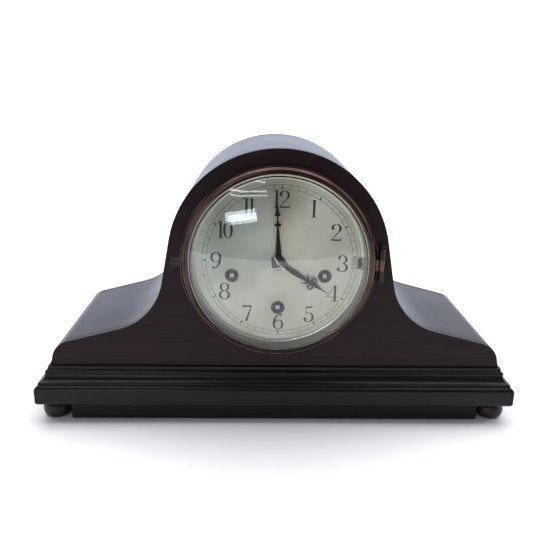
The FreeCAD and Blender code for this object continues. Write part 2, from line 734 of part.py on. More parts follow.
def time_train():
    phase = bearing("time", "between")
    barrel("time", phase)
    pinion = toothed("between_pinion", "between", 12, 0.64, "-14.5", 3,
                     meshed("time", "between", 72, 12, phase), leaves=True)
    wheel = toothed("between_great", "between", 60, 0.55, "-9.8", 1.4, bearing("between", "centre"))
    arbor = rod("between_arbor", "arbor_radius", "42", spot("between", "front_plate_y"))
    node(join("between", pinion, wheel, arbor), "intermediate_wheel")
    pinion = toothed("centre_pinion", "centre", 12, 0.55, "-10.6", 3,
                     meshed("between", "centre", 60, 12, bearing("between", "centre")), leaves=True)
    wheel = toothed("centre_great", "centre", 84, 0.42, "-38", 1.2, bearing("centre", "third"))
    arbor = rod("centre_arbor", "arbor_radius", f"-({DIAL_FRONT}) + 10",
                spot("centre", f"{DIAL_FRONT} - 10"))
    way = primitive("Cylinder", "pin_way", {"Radius": "0.75", "Height": "9"},
                    ("-4.5 * sin(149)", f"{DIAL_FRONT} - 8.6", "dial_height - 4.5 * cos(149)"),
                    Rotation(Vector(0, 1, 0), 149))
    node(cut("centre", join("centre_solid", pinion, wheel, arbor), way), "centre_wheel")
    pinion = toothed("third_pinion", "third", 7, 0.42, "-38.6", 2.4,
                     meshed("centre", "third", 84, 7, bearing("centre", "third")), leaves=True)
    wheel = toothed("third_great", "third", 70, 0.42, "-33", 1.2, bearing("third", "escape"))
    arbor = rod("third_arbor", "0.9", "42", spot("third", "front_plate_y"))
    node(join("third", pinion, wheel, arbor), "third_wheel")
    pinion = toothed("escape_pinion", "escape", 7, 0.42, "-34", 3,
                     meshed("third", "escape", 70, 7, bearing("third", "escape")), leaves=True)
    arbor = rod("escape_arbor", "0.9", "42", spot("escape", "front_plate_y"))
    node(join("escape", pinion, escape_wheel(), arbor), "escape_wheel")


def escape_wheel():
    corners = []
    for tooth in range(44):
        start = 2 * math.pi * tooth / 44
        for radius, turn in ((15, 0.0), (15, 0.018), (13, 0.06), (13, 0.11)):
            corners.append(Vector(radius * math.cos(start + turn), 0, radius * math.sin(start + turn)))
    made = doc.addObject("Part::Feature", "escape_rim")
    made.Shape = Part.Face(Part.makePolygon(corners + [corners[0]])).extrude(Vector(0, 1.2, 0))
    return place(made, spot("escape", "-20"))


def anchor():
    """The anchor above the escape wheel, with its arbor through the back plate and the crutch."""
    arbor = rod("anchor_arbor", "0.9", "51", spot("anchor", "front_plate_y"))
    corners = [(0, 3.5), (4, 1), (13.5, -8), (13.5, -11.5), (11.9, -11.5), (11.9, -8.5), (3, -1.5),
               (-3, -1.5), (-11.9, -8.5), (-11.9, -11.5), (-13.5, -11.5), (-13.5, -8), (-4, 1)]
    outline = [Vector(x, 0, z) for x, z in corners]
    pallets = doc.addObject("Part::Feature", "pallets")
    pallets.Shape = Part.Face(Part.makePolygon(outline + [outline[0]])).extrude(Vector(0, 3, 0))
    place(pallets, spot("anchor", "-21"))
    crutch = box("crutch_wire", ("1.2", "1.2", "30"),
                 ("-0.6", "2.4", "dial_height + pivot_rise - 30"))
    fork = [box(f"crutch_fork_{line}", ("1", "9", "1.4"), (x, "2.4", "dial_height + pivot_rise - 31.2"))
            for line, x in enumerate(("1.2", "-2.2"))]
    bridge = box("crutch_bridge", ("4.4", "1.2", "1.4"), ("-2.2", "2.4", "dial_height + pivot_rise - 31.2"))
    return node(join("anchor", arbor, pallets, crutch, bridge, *fork), "anchor")


def pendulum():
    hang = "dial_height + pivot_rise"
    foot_plate = box("cock_foot", ("24", "2", "8"), ("-12", "back_plate_y + plate_thick", hang + " + 3"))
    nose = box("cock_nose", ("8", "13", "3"), ("-4", "back_plate_y + plate_thick", hang + " + 8"))
    stud = rod("cock_stud", "1", "13", ("0", "back_plate_y + plate_thick", hang + " + 4.5"))
    node(join("cock", foot_plate, nose, stud), "pendulum_cock")
    ring = rod("hook_ring", "3", "2", ("0", "pendulum_y - 1", hang + " + 4.5"))
    eye = rod("hook_eye", "1.07", "4", ("0", "pendulum_y - 2", hang + " + 4.5"))
    stem = rod("pendulum_stem", "0.8", "pendulum_length - 2 + 8",
               ("0", "pendulum_y", hang + " - pendulum_length - 4"), Rotation())
    node(cut("pendulum", join("pendulum_solid", ring, stem), eye), "pendulum_rod")
    lens = turned("lens", "XY_Plane", [("0", "-3.2"), ("bob_radius - 1", "-0.8"), ("bob_radius", "0"),
                                       ("bob_radius - 1", "0.8"), ("0", "3.2")],
                  ("0", "pendulum_y", hang + " - pendulum_length"))
    way = rod("lens_way", "0.85", "60", ("0", "pendulum_y", hang + " - pendulum_length - 30"), Rotation())
    nut_gap = rod("lens_slot", "3.7", "4.6", ("0", "pendulum_y", hang + " - pendulum_length - 3.9"),
                  Rotation())
    node(cut("bob", lens, way, nut_gap), "pendulum_bob")
    nut = rod("nut_disc", "2.8", "3.8", ("0", "pendulum_y", hang + " - pendulum_length - 3.5"), Rotation())
    hole = rod("nut_hole", "0.85", "12", ("0", "pendulum_y", hang + " - pendulum_length - 8"), Rotation())
    return node(cut("nut", nut, hole), "rating_nut")


def motion_work():
    """The 12 to 1 gearing between the minute hand and the hour hand."""
    pinion = toothed("cannon_leaves", "centre", 12, 0.4, "-46", 3, 0.0, leaves=True)
    tube = rod("cannon_tube", "2", f"-46 - ({DIAL_FRONT} - 5.2)", spot("centre", f"{DIAL_FRONT} - 5.2"))
    bore = rod("cannon_bore", "arbor_radius + 0.02", "30", spot("centre", f"{DIAL_FRONT} - 8"))
    node(cut("cannon", join("cannon_solid", pinion, tube), bore), "cannon_pinion")
    wheel = toothed("minute_teeth", "motion", 48, 0.4, "-45.2", 1.2,
                    meshed("centre", "motion", 12, 48), bore=1.27)
    small = toothed("minute_leaves", "motion", 12, 0.5, "-49.2", 4, 0.0, leaves=True, bore=1.27)
    node(join("minute_wheel", wheel, small), "minute_wheel")
    teeth = toothed("hour_teeth", "centre", 36, 0.5, "-48.8", 1.4,
                    meshed("motion", "centre", 12, 36))
    pipe = rod("hour_pipe", "3.1", f"-47.4 - ({DIAL_FRONT} - 3.2)", spot("centre", f"{DIAL_FRONT} - 3.2"))
    hollow = rod("hour_bore", "2.08", "30", spot("centre", f"{DIAL_FRONT} - 8"))
    return node(cut("hour", join("hour_solid", teeth, pipe), hollow), "hour_wheel")


def side_train(name):
    """The strike or the chime train: barrel, second wheel and a two-vaned fly."""
    second, fly = name + "_second", name + "_fly"
    phase = bearing(name, second)
    barrel(name, phase)
    pinion = toothed(second + "_pinion", second, 12, 0.64, "-14.5", 3,
                     meshed(name, second, 72, 12, phase), leaves=True)
    wheel = toothed(second + "_great", second, 60, 0.5, "-37.6", 1.2, bearing(second, fly))
    arbor = rod(second + "_arbor", "arbor_radius", "42", spot(second, "front_plate_y"))
    node(join(second, pinion, wheel, arbor), name + "_second_wheel")
    leaves = toothed(fly + "_leaves", fly, 8, 0.5, "-38.4", 3,
                     meshed(second, fly, 60, 8, bearing(second, fly)), leaves=True)
    arbor = rod(fly + "_arbor", "0.9", "42", spot(fly, "front_plate_y"))
    vanes = box(fly + "_vanes", ("22", "12", "0.8"),
                (f"{SPOTS[fly][0]} - 11", "-30", f"dial_height + {SPOTS[fly][1]} - 0.4"))
    return node(join(fly, leaves, arbor, vanes), name + "_fly")


def chime_work():
    """The pinned drum that the chime barrel drives, the hammers' arbor and the bridge."""
    phase = bearing("chime", "chime_second")
    leaves = toothed("drum_leaves", "drum", 12, 0.64, "-14.5", 3,
                     meshed("chime", "drum", 72, 12, phase), leaves=True)
    arbor = rod("drum_arbor", "arbor_radius", "88", spot("drum", "front_plate_y"))
    collar = rod("drum_collar", "2.6", "5", spot("drum", "-2.5"))
    cylinder = rod("drum_cylinder", "8", "38", spot("drum", "5"))
    pins = []
    for line in range(16):
        turn = math.radians(22.5 * line)
        aim = Rotation(Vector(0, 0, 1), Vector(math.cos(turn), 0, math.sin(turn)))
        depth = f"first_rod_y + rod_pitch * {(line * 3) % 4}"
        pins.append(primitive("Cylinder", f"drum_pin_{line}", {"Radius": "0.5", "Height": "9.4"},
                              spot("drum", depth), aim))
    node(join("drum", leaves, arbor, collar, cylinder, *pins), "chime_drum")
    posts = [rod(f"bridge_post_{line}", "2.6", "46", (x, "back_plate_y + plate_thick", f"dial_height + {z}"))
             for line, (x, z) in enumerate((("58", "-18"), ("22", "-50")))]
    slab = doc.addObject("Part::Feature", "bridge_slab")
    points = [(63, -12), (63, -44), (42, -61.5), (16, -61.5), (16, -45), (52, -12)]
    corners = [Vector(x, 0, z) for x, z in points]
    slab.Shape = Part.Face(Part.makePolygon(corners + [corners[0]])).extrude(Vector(0, 2, 0))
    place(slab, ("0", "44", "dial_height"))
    stud = rod("hammer_arbor", "arbor_radius", "46", spot("hammers", "back_plate_y + plate_thick"))
    way = rod("bridge_way", "arbor_radius + 0.07", "6", spot("drum", "42"))
    node(cut("bridge", join("bridge_solid", slab, stud, *posts), way), "drum_bridge")


def hammer(line):
    """One hammer: a hub on the arbor, a tail toward the drum, an arm and a tipped head over its rod."""
    x, z = SPOTS["hammers"]
    depth = f"first_rod_y + rod_pitch * {line}"
    hub = rod(f"hammer_{line}_hub", "3", "3", spot("hammers", depth + " - 1.5"))
    corners = [(0, 1.5), (46, -18.6), (46, -20.6), (0, -1.5)]
    outline = [Vector(a, 0, b) for a, b in corners]
    arm = doc.addObject("Part::Feature", f"hammer_{line}_arm")
    arm.Shape = Part.Face(Part.makePolygon(outline + [outline[0]])).extrude(Vector(0, 1.6, 0))
    place(arm, (str(x), depth + " - 0.8", f"dial_height + {z}"))
    aim = math.degrees(bearing("hammers", "drum"))
    tail = box(f"hammer_{line}_tail", ("16.2", "1.4", "1.4"),
               (str(x), depth + " - 0.7", f"dial_height + {z}"))
    tail.Placement.Rotation = Rotation(Vector(0, 1, 0), -aim)
    head = rod(f"hammer_{line}_head", "2.7", "9.5", (str(x + 46), depth, "rod_height + rod_radius + 0.8"),
               Rotation())
    way = rod(f"hammer_{line}_way", "arbor_radius + 0.06", "8", spot("hammers", depth + " - 4"))
    solid = join(f"hammer_{line}_solid", hub, arm, tail, head)
    return node(cut(f"hammer_{line}", solid, way), f"hammer_{line + 1}")


def chime_rods():
    """Four tuned rods held by an iron block that is screwed to the case's floor."""
    post = box("block_post", ("16", "35", "rod_height - 17 - plinth_thick + 7"),
               ("118", "first_rod_y - 7", "17 + plinth_thick"))
    flange = box("block_flange", ("34", "35", "5"), ("109", "first_rod_y - 7", "17 + plinth_thick"))
    ways = [rod(f"block_way_{line}", "rod_radius", "20",
                ("112", f"first_rod_y + rod_pitch * {line}", "rod_height"), ALONG_X) for line in range(4)]
    node(cut("rod_block", join("rod_block_solid", post, flange), *ways), "rod_block")
    rods = [rod(f"chime_rod_{line}", "rod_radius", f"205 + 12 * {line}",
                (f"130 - 205 - 12 * {line}", f"first_rod_y + rod_pitch * {line}", "rod_height"), ALONG_X)
            for line in range(4)]
    node(group("rods", *rods), "chime_rods")


# ---------------------------------------------------------------- the back door

def back_door():
    board = body("door", ("0", f"{CASE_BACK} - 6", "0"))
    drawn = sketch(board, "door_outline", "XZ_Plane")
    loop(drawn, doorway("door_gap"))
    pad(board, "door_board", drawn, "6")
    node(board, "back_door")
    fixed, moving = [], []
    for line, z in enumerate(("80", "132")):
        at = ("-door_half_width - 0.5", f"{CASE_BACK} + 1.9", z)
        fixed.append(join(f"door_fixed_{line}",
                          rod(f"door_knuckle_low_{line}", "1.6", "5.9", at, Rotation()),
                          box(f"door_fixed_leaf_{line}", ("9", "0.8", "18"),
                              ("-door_half_width - 11", CASE_BACK, z)),
                          box(f"door_fixed_web_{line}", ("2", "1.6", "5.9"),
                              ("-door_half_width - 2.4", CASE_BACK, z))))
        moving.append(join(f"door_moving_{line}",
                           rod(f"door_knuckle_high_{line}", "1.6", "11.8",
                               at[:2] + (z + " + 6.2",), Rotation()),
                           box(f"door_moving_leaf_{line}", ("9", "0.8", "18"),
                               ("-door_half_width + 1", CASE_BACK, z)),
                           box(f"door_moving_web_{line}", ("2", "1.2", "11.8"),
                               ("-door_half_width - 0.4", f"{CASE_BACK}", z + " + 6.2"))))
        fixed[-1].Shapes += [rod(f"door_pin_{line}", "0.8", "18.4", at, Rotation())]
    ways = [rod(f"door_way_{line}", "0.87", "20", ("-door_half_width - 0.5", f"{CASE_BACK} + 1.9", z),
                Rotation()) for line, z in enumerate(("79", "131"))]
    node(group("door_fixed", *fixed), "door_hinge_fixed")
    node(cut("door_moving", group("door_moving_both", *moving), *ways), "door_hinge_moving")
    return node(turned("door_pull", "XY_Plane", [
        ("0", "0"), ("3", "0"), ("2.4", "2"), ("5", "2.8"), ("5", "4"),
        ("3.6", "knob_reach"), ("0", "knob_reach"),
    ], ("door_half_width - 10", CASE_BACK, "132")), "door_knob")


# ---------------------------------------------------------------- build, check and export

def build():
    front_panel()
    back_panel()
    hat_top()
    front_moulding()
    end_moulding("left_moulding", "-")
    end_moulding("right_moulding", "+")
    base_board()
    feet()
    glue_blocks()
    bezel_seat()
    bezel()
    hinge_pin()
    glass()
    dial()
    dial_trim()
    minute_hand()
    hour_hand()
    hand_fixings()
    plates()
    pillars()
    brackets()
    time_train()
    anchor()
    pendulum()
    motion_work()
    for name in ("time", "strike", "chime"):
        winding_arbor(name)
    plate_studs()
    side_train("strike")
    side_train("chime")
    chime_work()
    for line in range(4):
        hammer(line)
    chime_rods()
    back_door()


def export():
    os.makedirs("parts", exist_ok=True)
    for thing in doc.Objects:
        if "Invalid" in thing.State or "Error" in thing.State:
            raise RuntimeError(f"{thing.Name} did not come out: {thing.State}")
    for thing in NODES:
        if thing.Shape.isNull() or not thing.Shape.isValid():
            raise RuntimeError(f"{thing.Label} has no valid shape")
        thing.Shape.exportStep(f"parts/{thing.Label}.step")


build()
doc.recompute()
export()
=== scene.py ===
# %% [markdown]
# # A tambour mantel clock
# The clock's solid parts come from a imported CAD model, which stays exactly where it is.
# This lesson gives every part its finish, prints the dial, and sets up a soft studio.

# %% Load the frame
import math

import bpy
import numpy as np
from mathutils import Matrix, Quaternion, Vector


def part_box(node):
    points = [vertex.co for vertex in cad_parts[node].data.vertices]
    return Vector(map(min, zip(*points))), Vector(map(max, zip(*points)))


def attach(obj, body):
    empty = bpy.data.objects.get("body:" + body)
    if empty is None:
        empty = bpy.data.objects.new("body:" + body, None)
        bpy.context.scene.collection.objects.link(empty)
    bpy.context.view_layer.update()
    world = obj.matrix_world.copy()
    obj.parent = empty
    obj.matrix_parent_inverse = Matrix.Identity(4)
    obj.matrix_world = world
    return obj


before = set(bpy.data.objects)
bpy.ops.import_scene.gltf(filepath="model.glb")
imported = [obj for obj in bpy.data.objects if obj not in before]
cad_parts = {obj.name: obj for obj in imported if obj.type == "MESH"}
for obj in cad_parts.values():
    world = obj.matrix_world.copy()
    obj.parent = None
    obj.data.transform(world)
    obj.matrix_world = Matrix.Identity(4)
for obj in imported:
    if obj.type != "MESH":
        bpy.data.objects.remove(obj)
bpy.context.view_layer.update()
MM = 0.001

# %% [markdown]
# ## Where things are
# The dial, the bezel and the case are already in place. Asking the frame for their boxes gives the
# numbers that the printed dial, some materials and the camera need, so nothing here has to be fitted by
# eye.

# %% Landmarks
dial_low, dial_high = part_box("dial_plate")
DIAL_CENTRE = Vector(((dial_low.x + dial_high.x) / 2, dial_low.y, (dial_low.z + dial_high.z) / 2))
PANEL_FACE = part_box("front_panel")[0].y
print("dial centre in mm:", [round(v / MM, 1) for v in DIAL_CENTRE])

# %% [markdown]
# ## Colours and nodes
# Paint charts give colours as sRGB hex, but a shader works in linear light, so one function turns one
# into the other. A second small function adds any shader node with its settings and its links, and the
# others cover what nearly every material needs: a start, a colour ramp and the shader's own values.

# %% Helpers for materials
def linear(hexcode, alpha=1.0):
    """sRGB hex to linear light: each channel c becomes ((c + 0.055) / 1.055) ** 2.4 above the toe."""
    channels = [int(hexcode[i:i + 2], 16) / 255 for i in (1, 3, 5)]
    light = [c / 12.92 if c <= 0.04045 else ((c + 0.055) / 1.055) ** 2.4 for c in channels]
    return (*light, alpha)


def add(tree, kind, links=None, **settings):
    """Add one node: keywords set its properties or inputs, and links says what feeds which input."""
    made = tree.nodes.new(kind)
    for key, value in settings.items():
        if hasattr(made, key):
            setattr(made, key, value)
        else:
            made.inputs[key.replace("_", " ")].default_value = value
    for socket, source in (links or {}).items():
        tree.links.new(source, made.inputs[socket])
    return made


def start(name):
    """A new material with its tree and its Principled shader."""
    material = bpy.data.materials.new(name)
    material.use_nodes = True
    return material, material.node_tree, material.node_tree.nodes["Principled BSDF"]


def tune(shader, **values):
    """Set the shader's own sockets: Coat_Roughness=0.2 sets Coat Roughness."""
    for key, value in values.items():
        shader.inputs[key.replace("_", " ")].default_value = value


def ramp(tree, source, stops):
    """Turn a value into a colour: stops are pairs of a position and a hex colour, in rising order."""
    made = add(tree, "ShaderNodeValToRGB", {"Fac": source})
    elements = made.color_ramp.elements
    for _ in stops[2:]:
        elements.new(0.5)
    for element, (position, shade) in zip(elements, stops):
        element.position = position
        element.color = linear(shade)
    return made.outputs["Color"]


def dress(material, *nodes):
    """Give a material to CAD nodes."""
    for name in nodes:
        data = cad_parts[name].data
        data.materials.clear()
        data.materials.append(material)


# %% [markdown]
# ## Dark mahogany
# The case is veneered in mahogany, stained almost black and French polished. The polish is a thin clear
# coat that mirrors the room softly, while the grain only shows as faint red-brown streaks. The streaks
# are noise stretched along the board: a real figure runs for about 90 mm and is 4.5 mm across.

# %% Polished and plain woods
def wood(name, dark, light, across_mm, along_mm, roughness, coat, coat_roughness, gloss, axis=0,
         bump=0.06, painted_sheen_tint="#ffffff"):
    """Streaked wood: noise squeezed across the grain mixes two stains, and a finer one makes pores."""
    material, tree, shader = start(name)
    place = add(tree, "ShaderNodeTexCoord")
    stretch = [1 / (across_mm * MM)] * 3
    stretch[axis] = 1 / (along_mm * MM)
    grain = add(tree, "ShaderNodeMapping", {"Vector": place.outputs["Object"]}, Scale=stretch)
    figure = add(tree, "ShaderNodeTexNoise", {"Vector": grain.outputs[0]}, Scale=1.0, Detail=6.0,
                 Roughness=0.6, Distortion=0.6)
    stain = ramp(tree, figure.outputs["Fac"], [(0.34, dark), (0.72, light)])
    pores = add(tree, "ShaderNodeTexNoise", {"Vector": grain.outputs[0]}, Scale=4.0, Detail=3.0)
    relief = add(tree, "ShaderNodeBump", {"Height": pores.outputs["Fac"]}, Strength=bump,
                 Distance=0.2 * MM)
    wear_and_painted_reflection = add(tree, "ShaderNodeTexNoise", {"Vector": place.outputs["Object"]}, Scale=22.0, Detail=4.0)
    sheen = add(tree, "ShaderNodeMapRange", {"Value": wear_and_painted_reflection.outputs["Fac"]}, To_Min=roughness - 0.06,
                To_Max=roughness + 0.08)
    tree.links.new(stain, shader.inputs["Base Color"])
    tree.links.new(sheen.outputs[0], shader.inputs["Roughness"])
    tree.links.new(relief.outputs[0], shader.inputs["Normal"])
    # Specular Tint carries a painted tint on the reflections; only the top gets a bluish one.
    tune(shader, Specular_IOR_Level=gloss, Specular_Tint=linear(painted_sheen_tint), Coat_Weight=coat,
         Coat_Roughness=coat_roughness)
    return material


def rub(material, centre, half, shade):
    """A small place made pale by fingers: inside a soft-edged box in X and Z the stain is lighter."""
    tree = material.node_tree
    stain = tree.nodes["Principled BSDF"].inputs["Base Color"]
    under = stain.links[0].from_socket
    place = add(tree, "ShaderNodeTexCoord")
    local = add(tree, "ShaderNodeMapping", {"Vector": place.outputs["Object"]},
                Location=(-centre[0] / half[0], 0.0, -centre[1] / half[1]),
                Scale=(1 / half[0], 1.0, 1 / half[1]))
    parts = add(tree, "ShaderNodeSeparateXYZ", {"Vector": local.outputs[0]})
    wide = add(tree, "ShaderNodeMath", {0: parts.outputs["X"]}, operation="ABSOLUTE")
    tall = add(tree, "ShaderNodeMath", {0: parts.outputs["Z"]}, operation="ABSOLUTE")
    reach = add(tree, "ShaderNodeMath", {0: wide.outputs[0], 1: tall.outputs[0]}, operation="MAXIMUM")
    inside = add(tree, "ShaderNodeMapRange", {"Value": reach.outputs[0]}, From_Min=1.15, From_Max=0.8)
    mix = add(tree, "ShaderNodeMix", {"Factor": inside.outputs[0], "A": under}, data_type="RGBA",
              B=linear(shade))
    tree.links.new(mix.outputs["Result"], stain)


VENEER = dict(across_mm=4.5, along_mm=90.0, coat_roughness=0.2)
PANEL = dict(VENEER, roughness=0.38, coat=0.06, gloss=0.14, bump=0.03)
EBONY = dict(across_mm=2.5, along_mm=70.0, roughness=0.3, coat=0.06, coat_roughness=0.2, gloss=0.2)
PLAIN = dict(across_mm=2.2, along_mm=45.0, coat=0.0, coat_roughness=0.5, gloss=0.2)
mahogany = wood("french_polished_mahogany", "#160b0e", "#261215", **PANEL)
front_mahogany = wood("front_panel_mahogany", "#180b0e", "#271215", **PANEL)
rub(front_mahogany, centre=(-0.0862, 0.1455), half=(0.0044, 0.0042), shade="#3a2e31")
# The top's reflections carry a painted bluish tint: its Specular Tint stands in for the bluish room light
# that the top mirrors.
top_mahogany = wood("polished_mahogany_top", "#140b0e", "#22120f", roughness=0.33, coat=0.0, gloss=0.22,
                    axis=1, painted_sheen_tint="#dce5ff", **VENEER)
ebony = wood("ebonised_moulding", "#060608", "#0e0e12", **EBONY)
side_ebony = wood("ebonised_end_moulding", "#060608", "#0e0e12", axis=1, **EBONY)
foot_wood = wood("turned_foot_wood", "#170e10", "#2c1a1c", across_mm=2.0, along_mm=25.0, roughness=0.4,
                 coat=0.1, coat_roughness=0.3, gloss=0.25)
black_wood = wood("black_stained_floor_board", "#0a0a0b", "#151416", roughness=0.6, **PLAIN)
plain_wood = wood("stained_carcass_wood", "#1e1512", "#30211a", roughness=0.7, **PLAIN)
dress(front_mahogany, "front_panel")
dress(mahogany, "back_panel", "back_door")
dress(top_mahogany, "hat_top")
dress(ebony, "front_moulding")
dress(side_ebony, "left_moulding", "right_moulding")
dress(foot_wood, "feet")
dress(black_wood, "base_board")
dress(plain_wood, "glue_blocks")
print("woods ready, materials so far:", len(bpy.data.materials))

# %% [markdown]
# ## Metals
# A metal's colour is the colour of its reflection. Old brass has a brown tarnish in patches, so noise
# mixes two browns and also makes the polish uneven. A few parts are bright at one end and dark at the
# other, such as a blackened winding square with a worn end, so they change colour at a plane.

# %% Aged and bright metals
def metal(name, base, tarnish, roughness, patch_mm=12.0, spread=0.1, bump=0.03, grit_mm=0.6):
    """Metal with patches of tarnish: one noise mixes two colours, and a finer one adds grit."""
    material, tree, shader = start(name)
    place = add(tree, "ShaderNodeTexCoord")
    patches = add(tree, "ShaderNodeTexNoise", {"Vector": place.outputs["Object"]},
                  Scale=1 / (patch_mm * MM), Detail=5.0, Roughness=0.6)
    blend = ramp(tree, patches.outputs["Fac"], [(0.4, base), (0.7, tarnish)])
    polish = add(tree, "ShaderNodeMapRange", {"Value": patches.outputs["Fac"]},
                 To_Min=max(roughness - spread, 0.03), To_Max=roughness + spread)
    grit = add(tree, "ShaderNodeTexNoise", {"Vector": place.outputs["Object"]},
               Scale=1 / (grit_mm * MM), Detail=2.0)
    relief = add(tree, "ShaderNodeBump", {"Height": grit.outputs["Fac"]}, Strength=bump,
                 Distance=0.1 * MM)
    tree.links.new(blend, shader.inputs["Base Color"])
    tree.links.new(polish.outputs[0], shader.inputs["Roughness"])
    tree.links.new(relief.outputs[0], shader.inputs["Normal"])
    tune(shader, Metallic=1.0)
    return material


def tipped(name, shaft, tip, roughness, edge):
    """Metal in two colours: what stands in front of a plane across Y has the tip's colour."""
    material, tree, shader = start(name)
    place = add(tree, "ShaderNodeTexCoord")
    parts = add(tree, "ShaderNodeSeparateXYZ", {"Vector": place.outputs["Object"]})
    behind = add(tree, "ShaderNodeMath", {0: parts.outputs["Y"]}, operation="GREATER_THAN")
    behind.inputs[1].default_value = edge
    colour = add(tree, "ShaderNodeMix", {"Factor": behind.outputs[0]}, data_type="RGBA",
                 A=linear(tip), B=linear(shaft))
    tree.links.new(colour.outputs["Result"], shader.inputs["Base Color"])
    tune(shader, Roughness=roughness, Metallic=1.0)
    return material


SEAT_FACE = PANEL_FACE - 0.4 * MM
ARBOR_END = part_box("time_winding_arbor")[0].y + 0.3 * MM
bezel_brass = metal("tarnished_bezel_brass", "#5a4743", "#3d3129", 0.24, patch_mm=30.0, spread=0.05,
                    bump=0.01)
dark_bronze = metal("dark_hinge_bronze", "#3a302b", "#241c19", 0.35, bump=0.01)
cut_brass = metal("machined_plate_brass", "#c8a660", "#9a7a42", 0.34, patch_mm=20.0)
dull_brass = metal("dull_plate_brass", "#8f7747", "#5e4c30", 0.5, patch_mm=16.0)
seat_brass = tipped("seat_brass_with_dark_front", "#a7a08c", "#3a302b", 0.34, SEAT_FACE)
key_steel = tipped("blackened_winding_steel", "#1b1c1f", "#9fa1a4", 0.3, ARBOR_END)
centre_brass = tipped("brass_with_steel_tip", "#c8a660", "#a9abae", 0.28, DIAL_CENTRE.y)
collet_steel = metal("polished_collet_steel", "#4c4d51", "#222326", 0.16, spread=0.03, bump=0.01)
turned_brass = metal("lacquered_turned_brass", "#dcbb70", "#c09a52", 0.22)
door_brass = metal("stamped_door_brass", "#c8a461", "#8a6a3a", 0.33)
bright_steel = metal("polished_arbor_steel", "#c8cacd", "#9ea1a6", 0.22)
strap_steel = metal("pressed_strap_steel", "#8f9296", "#6f7276", 0.42)
blued_steel = metal("blued_hand_steel", "#0e1014", "#08090c", 0.4, bump=0.01)
rod_bronze = metal("drawn_rod_bronze", "#b08a5a", "#8a6840", 0.3)
label_silver = metal("dull_silvered_label", "#a9a99f", "#94948b", 0.45)
pin_steel = metal("bright_pin_steel", "#f2f2f0", "#dcdcda", 0.4, bump=0.01)
cast_iron = metal("rough_cast_iron", "#3a3b3e", "#2a2b2d", 0.6, bump=0.5, grit_mm=1.5)
dress(bezel_brass, "bezel")
dress(seat_brass, "bezel_seat")
dress(dull_brass, "front_plate")
dress(centre_brass, "centre_wheel")
dress(key_steel, "time_winding_arbor", "strike_winding_arbor", "chime_winding_arbor")
dress(collet_steel, "hand_collet")
dress(dark_bronze, "bezel_hinge_pin")
dress(cut_brass, "back_plate", "plate_pillars", "time_barrel", "strike_barrel",
      "chime_barrel", "intermediate_wheel", "minute_wheel", "hour_wheel",
      "strike_second_wheel", "chime_second_wheel", "chime_drum", "drum_bridge", "pendulum_cock",
      "hammer_1", "hammer_2", "hammer_3", "hammer_4", "rating_nut")
dress(turned_brass, "pendulum_bob")
dress(door_brass, "door_hinge_fixed", "door_hinge_moving", "door_knob")
dress(pin_steel, "hand_pin")
dress(bright_steel, "plate_studs", "anchor", "escape_wheel", "third_wheel", "strike_fly", "chime_fly",
      "pendulum_rod", "cannon_pinion")
dress(strap_steel, "movement_brackets")
dress(blued_steel, "minute_hand", "hour_hand", "silent_lever")
dress(rod_bronze, "chime_rods")
dress(label_silver, "silent_plate")
dress(cast_iron, "rod_block")
print("metals ready, materials so far:", len(bpy.data.materials))

# %% [markdown]
# ## The silvered dial
# The dial is brass, silvered with a paste that is rubbed on while the plate spins. The rubbing leaves
# fine circles, and circles spread a highlight into the two bright fans that turn with the light. The
# shader does the same with anisotropy and a tangent that runs round the dial's axis. A second ramp, by
# the hour, paints reflection and shade into the colour, so some parts of the plate are paler than others.

# %% Silvered brass
# Painted reflection and shade, hour by hour round the dial: hours from 6 (-6) over 12 (0) to 6 (6).
PAINTED_REFLECTION_BY_HOUR = [(-6, "#d4d4d0"), (-4.5, "#d9d9d5"), (-3.3, "#cdd1ce"), (-2.9, "#d2d8d8"), (-1.5, "#e3e8e8"),
           (-0.1, "#f4f4f2"), (0.1, "#f2e9da"), (1.0, "#fbf8f2"), (3.0, "#f6f6f2"), (6, "#d4d4d0")]


